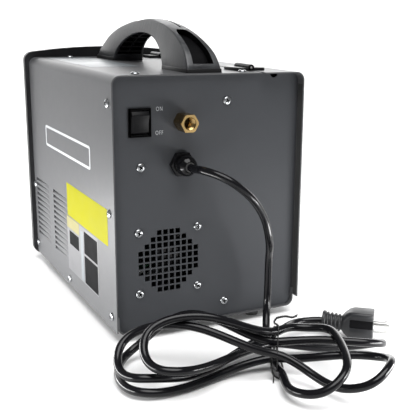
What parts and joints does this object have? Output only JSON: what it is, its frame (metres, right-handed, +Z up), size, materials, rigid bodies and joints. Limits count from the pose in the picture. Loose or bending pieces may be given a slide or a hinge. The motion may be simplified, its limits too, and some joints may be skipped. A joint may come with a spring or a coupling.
{
  "type": "wire-feed welding power unit",
  "caption": "Portable wire-feed welder: louvred sheet-metal case on rubber feet with a hinged side door, arched carrying handle, rear fan grille, gas inlet, switch and tied mains cord.",
  "frame": {"origin": "middle of the footprint, on the surface that the feet stand on, measured without the free cord", "axes": "+X to the louvred side, +Y to the rear panel with the switch and the gas inlet, +Z up"},
  "size_m": [0.3267, 0.6412, 0.357],
  "materials": {
    "shell_paint": "satin mid grey powder coat",
    "panel_paint": "satin dark grey powder coat",
    "black_moulding": "fine grained black moulded plastic",
    "switch_black": "smooth black switch plastic",
    "rubber": "black rubber",
    "zinc": "bright zinc-plated steel",
    "brass": "turned brass",
    "steel": "machined steel",
    "black_nylon": "black nylon",
    "aluminium": "milled aluminium",
    "board": "green circuit board lacquer",
    "capacitor_sleeve": "dark plastic sleeve",
    "copper": "copper-coated wire",
    "black_paint": "black painted steel",
    "lamp_lens": "amber lens",
    "cord_jacket": "black flexible cord jacket",
    "tie_vinyl": "black vinyl wire tie"
  },
  "bodies": {
    "chassis": {"base_tray": "shell_paint", "rear_panel": "panel_paint", "front_panel": "panel_paint", "front_bezel": "black_moulding", "side_cover": "shell_paint", "divider": "shell_paint", "handle": "black_moulding", "foot_rear_left": "rubber", "foot_rear_right": "rubber", "foot_front_left": "rubber", "foot_front_right": "rubber", "rear_screws": "zinc", "cover_screws": "zinc", "fan_screws": "zinc", "gas_fitting": "brass", "gas_solenoid": "steel", "switch_frame": "switch_black", "fan_housing": "black_nylon", "heatsink": "aluminium", "circuit_board": "board", "capacitors": "capacitor_sleeve", "choke": "copper", "hinge_rear_fixed": "black_paint", "hinge_front_fixed": "black_paint", "hinge_rear_pin": "steel", "hinge_front_pin": "steel", "spool_hub": "black_nylon", "feed_plate": "aluminium", "feed_motor": "steel", "wire_guides": "brass", "torch_socket": "brass", "socket_positive": "black_nylon", "socket_negative": "black_nylon", "front_lamps": "lamp_lens", "gland_body": "black_nylon", "gland_nut": "black_nylon", "power_cord": "cord_jacket", "cord_hank": "cord_jacket", "cord_tie": "tie_vinyl", "plug_body": "cord_jacket", "plug_pins": "brass"},
    "door": {"side_door": "shell_paint", "hinge_rear_moving": "black_paint", "hinge_front_moving": "black_paint"},
    "latch": {"latch_knob": "black_moulding"},
    "switch_rocker": {"rocker": "switch_black"},
    "fan": {"fan_rotor": "black_nylon"},
    "spool": {"wire_spool": "black_nylon", "spool_wire": "copper"},
    "feed_drive": {"feed_shaft": "steel", "drive_roll": "steel"},
    "arm": {"pressure_arm": "black_nylon"},
    "idler": {"pressure_roll": "steel"},
    "tension": {"tension_knob": "black_moulding"},
    "voltage": {"voltage_knob": "black_moulding"},
    "speed": {"speed_knob": "black_moulding"}
  },
  "joints": [
    {"name": "door_hinge", "type": "hinge", "parent": "chassis", "child": "door", "pos_m": [-0.064, 0.032, 0.3034], "axis": [0, 1, 0], "range_deg": [0, 110]},
    {"name": "latch_turn", "type": "hinge", "parent": "door", "child": "latch", "pos_m": [-0.1164, -0.018, 0.046], "axis": [-1, 0, 0], "range_deg": [0, 90]},
    {"name": "power_switch", "type": "hinge", "parent": "chassis", "child": "switch_rocker", "pos_m": [0.0841, 0.18, 0.2492], "axis": [1, 0, 0], "range_deg": [0, 20]},
    {"name": "fan_spin", "type": "hinge", "parent": "chassis", "child": "fan", "pos_m": [0.0512, 0.168, 0.0906], "axis": [0, 1, 0], "continuous": true},
    {"name": "spool_spin", "type": "hinge", "parent": "chassis", "child": "spool", "pos_m": [-0.04075, 0.068, 0.16], "axis": [1, 0, 0], "continuous": true},
    {"name": "drive_spin", "type": "hinge", "parent": "chassis", "child": "feed_drive", "pos_m": [-0.02775, -0.108, 0.15955], "axis": [1, 0, 0], "continuous": true},
    {"name": "arm_lift", "type": "hinge", "parent": "chassis", "child": "arm", "pos_m": [-0.02105, -0.074, 0.19645], "axis": [-1, 0, 0], "range_deg": [0, 60]},
    {"name": "idler_spin", "type": "hinge", "parent": "arm", "child": "idler", "pos_m": [-0.02775, -0.108, 0.19045], "axis": [1, 0, 0], "continuous": true},
    {"name": "tension_turn", "type": "hinge", "parent": "arm", "child": "tension", "pos_m": [-0.02775, -0.138, 0.21045], "axis": [0, 0, 1], "range_deg": [0, 720]},
    {"name": "voltage_turn", "type": "hinge", "parent": "chassis", "child": "voltage", "pos_m": [0.01, -0.185, 0.228], "axis": [0, -1, 0], "range_deg": [-135, 135]},
    {"name": "speed_turn", "type": "hinge", "parent": "chassis", "child": "speed", "pos_m": [0.078, -0.185, 0.228], "axis": [0, -1, 0], "range_deg": [-135, 135]}
  ],
  "couplings": [
    {"joint": "idler_spin", "follows": "drive_spin", "ratio": -1}
  ]
}
